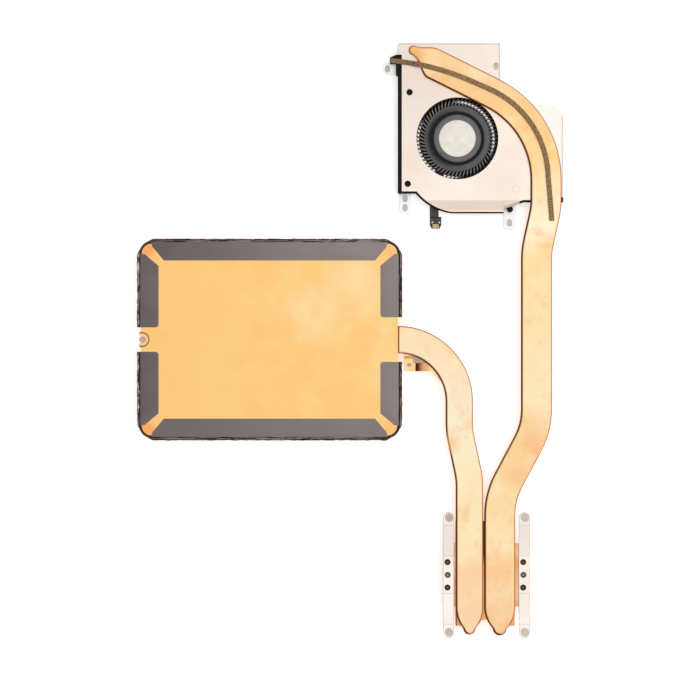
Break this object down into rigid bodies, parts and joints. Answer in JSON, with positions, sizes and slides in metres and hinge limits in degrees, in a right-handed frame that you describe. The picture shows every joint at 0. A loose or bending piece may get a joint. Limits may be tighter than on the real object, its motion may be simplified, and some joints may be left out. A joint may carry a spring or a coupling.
{
  "type": "laptop cooling fan heatsink",
  "caption": "Flat heat-pipe cooler for a slim computer: a small blower at one end, a screw-down processor plate at the other and a broad copper spreader plate to one side.",
  "frame": {"origin": "centre of the raised face that meets the processor, which is also the centre of the four processor screw holes", "axes": "+Y along the device from the processor plate to the blower, +X to the right as pictured, +Z out of the device, away from the processor and towards the viewer"},
  "size_m": [0.1858, 0.2589, 0.0064],
  "materials": {
    "cold_copper": "bright copper, slightly dulled",
    "pipe_copper": "satin copper, drawn",
    "plate_copper": "rolled copper sheet, lightly blotched",
    "spring_steel": "nickel-plated spring steel",
    "edge_film": "black polyester film, smooth",
    "bracket_steel": "copper-plated steel sheet",
    "base_steel": "bright steel sheet",
    "cover_steel": "satin steel sheet",
    "frame_plastic": "moulded black plastic",
    "fin_copper": "thin copper sheet",
    "bearing_metal": "sintered bronze and brass",
    "pad_plastic": "low-friction plastic",
    "shaft_steel": "ground steel",
    "motor_steel": "electrical steel",
    "winding": "enamelled copper wire",
    "magnet": "bonded magnet",
    "impeller_plastic": "moulded dark grey plastic",
    "label_film": "blank cream-white film",
    "flex_film": "dark coated circuit film",
    "plug_plastic": "dark plastic",
    "contact_gold": "gold-plated contacts",
    "foam": "soft open foam"
  },
  "bodies": {
    "cooler": {"cold_plate": "cold_copper", "fan_heat_pipe": "pipe_copper", "spreader_heat_pipe": "pipe_copper", "heat_spreader_plate": "plate_copper", "leaf_spring_left": "spring_steel", "leaf_spring_right": "spring_steel", "edge_film_upper": "edge_film", "edge_film_lower": "edge_film", "pipe_bracket": "bracket_steel", "fan_base_plate": "base_steel", "fan_cover": "cover_steel", "fan_frame": "frame_plastic", "fin_stack": "fin_copper", "bearing_housing": "bearing_metal", "bearing_sleeve": "bearing_metal", "thrust_pad": "pad_plastic", "stator_core": "motor_steel", "stator_coils": "winding", "motor_flex": "flex_film", "plug_body": "plug_plastic", "plug_contacts": "contact_gold", "foam_strip": "foam"},
    "rotor": {"impeller": "impeller_plastic", "rotor_yoke": "motor_steel", "rotor_magnet": "magnet", "rotor_shaft": "shaft_steel", "hub_label": "label_film"}
  },
  "joints": [
    {"name": "impeller_spin", "type": "hinge", "parent": "cooler", "child": "rotor", "pos_m": [-0.0126, 0.1901, 0], "axis": [0, 0, 1], "continuous": true}
  ]
}
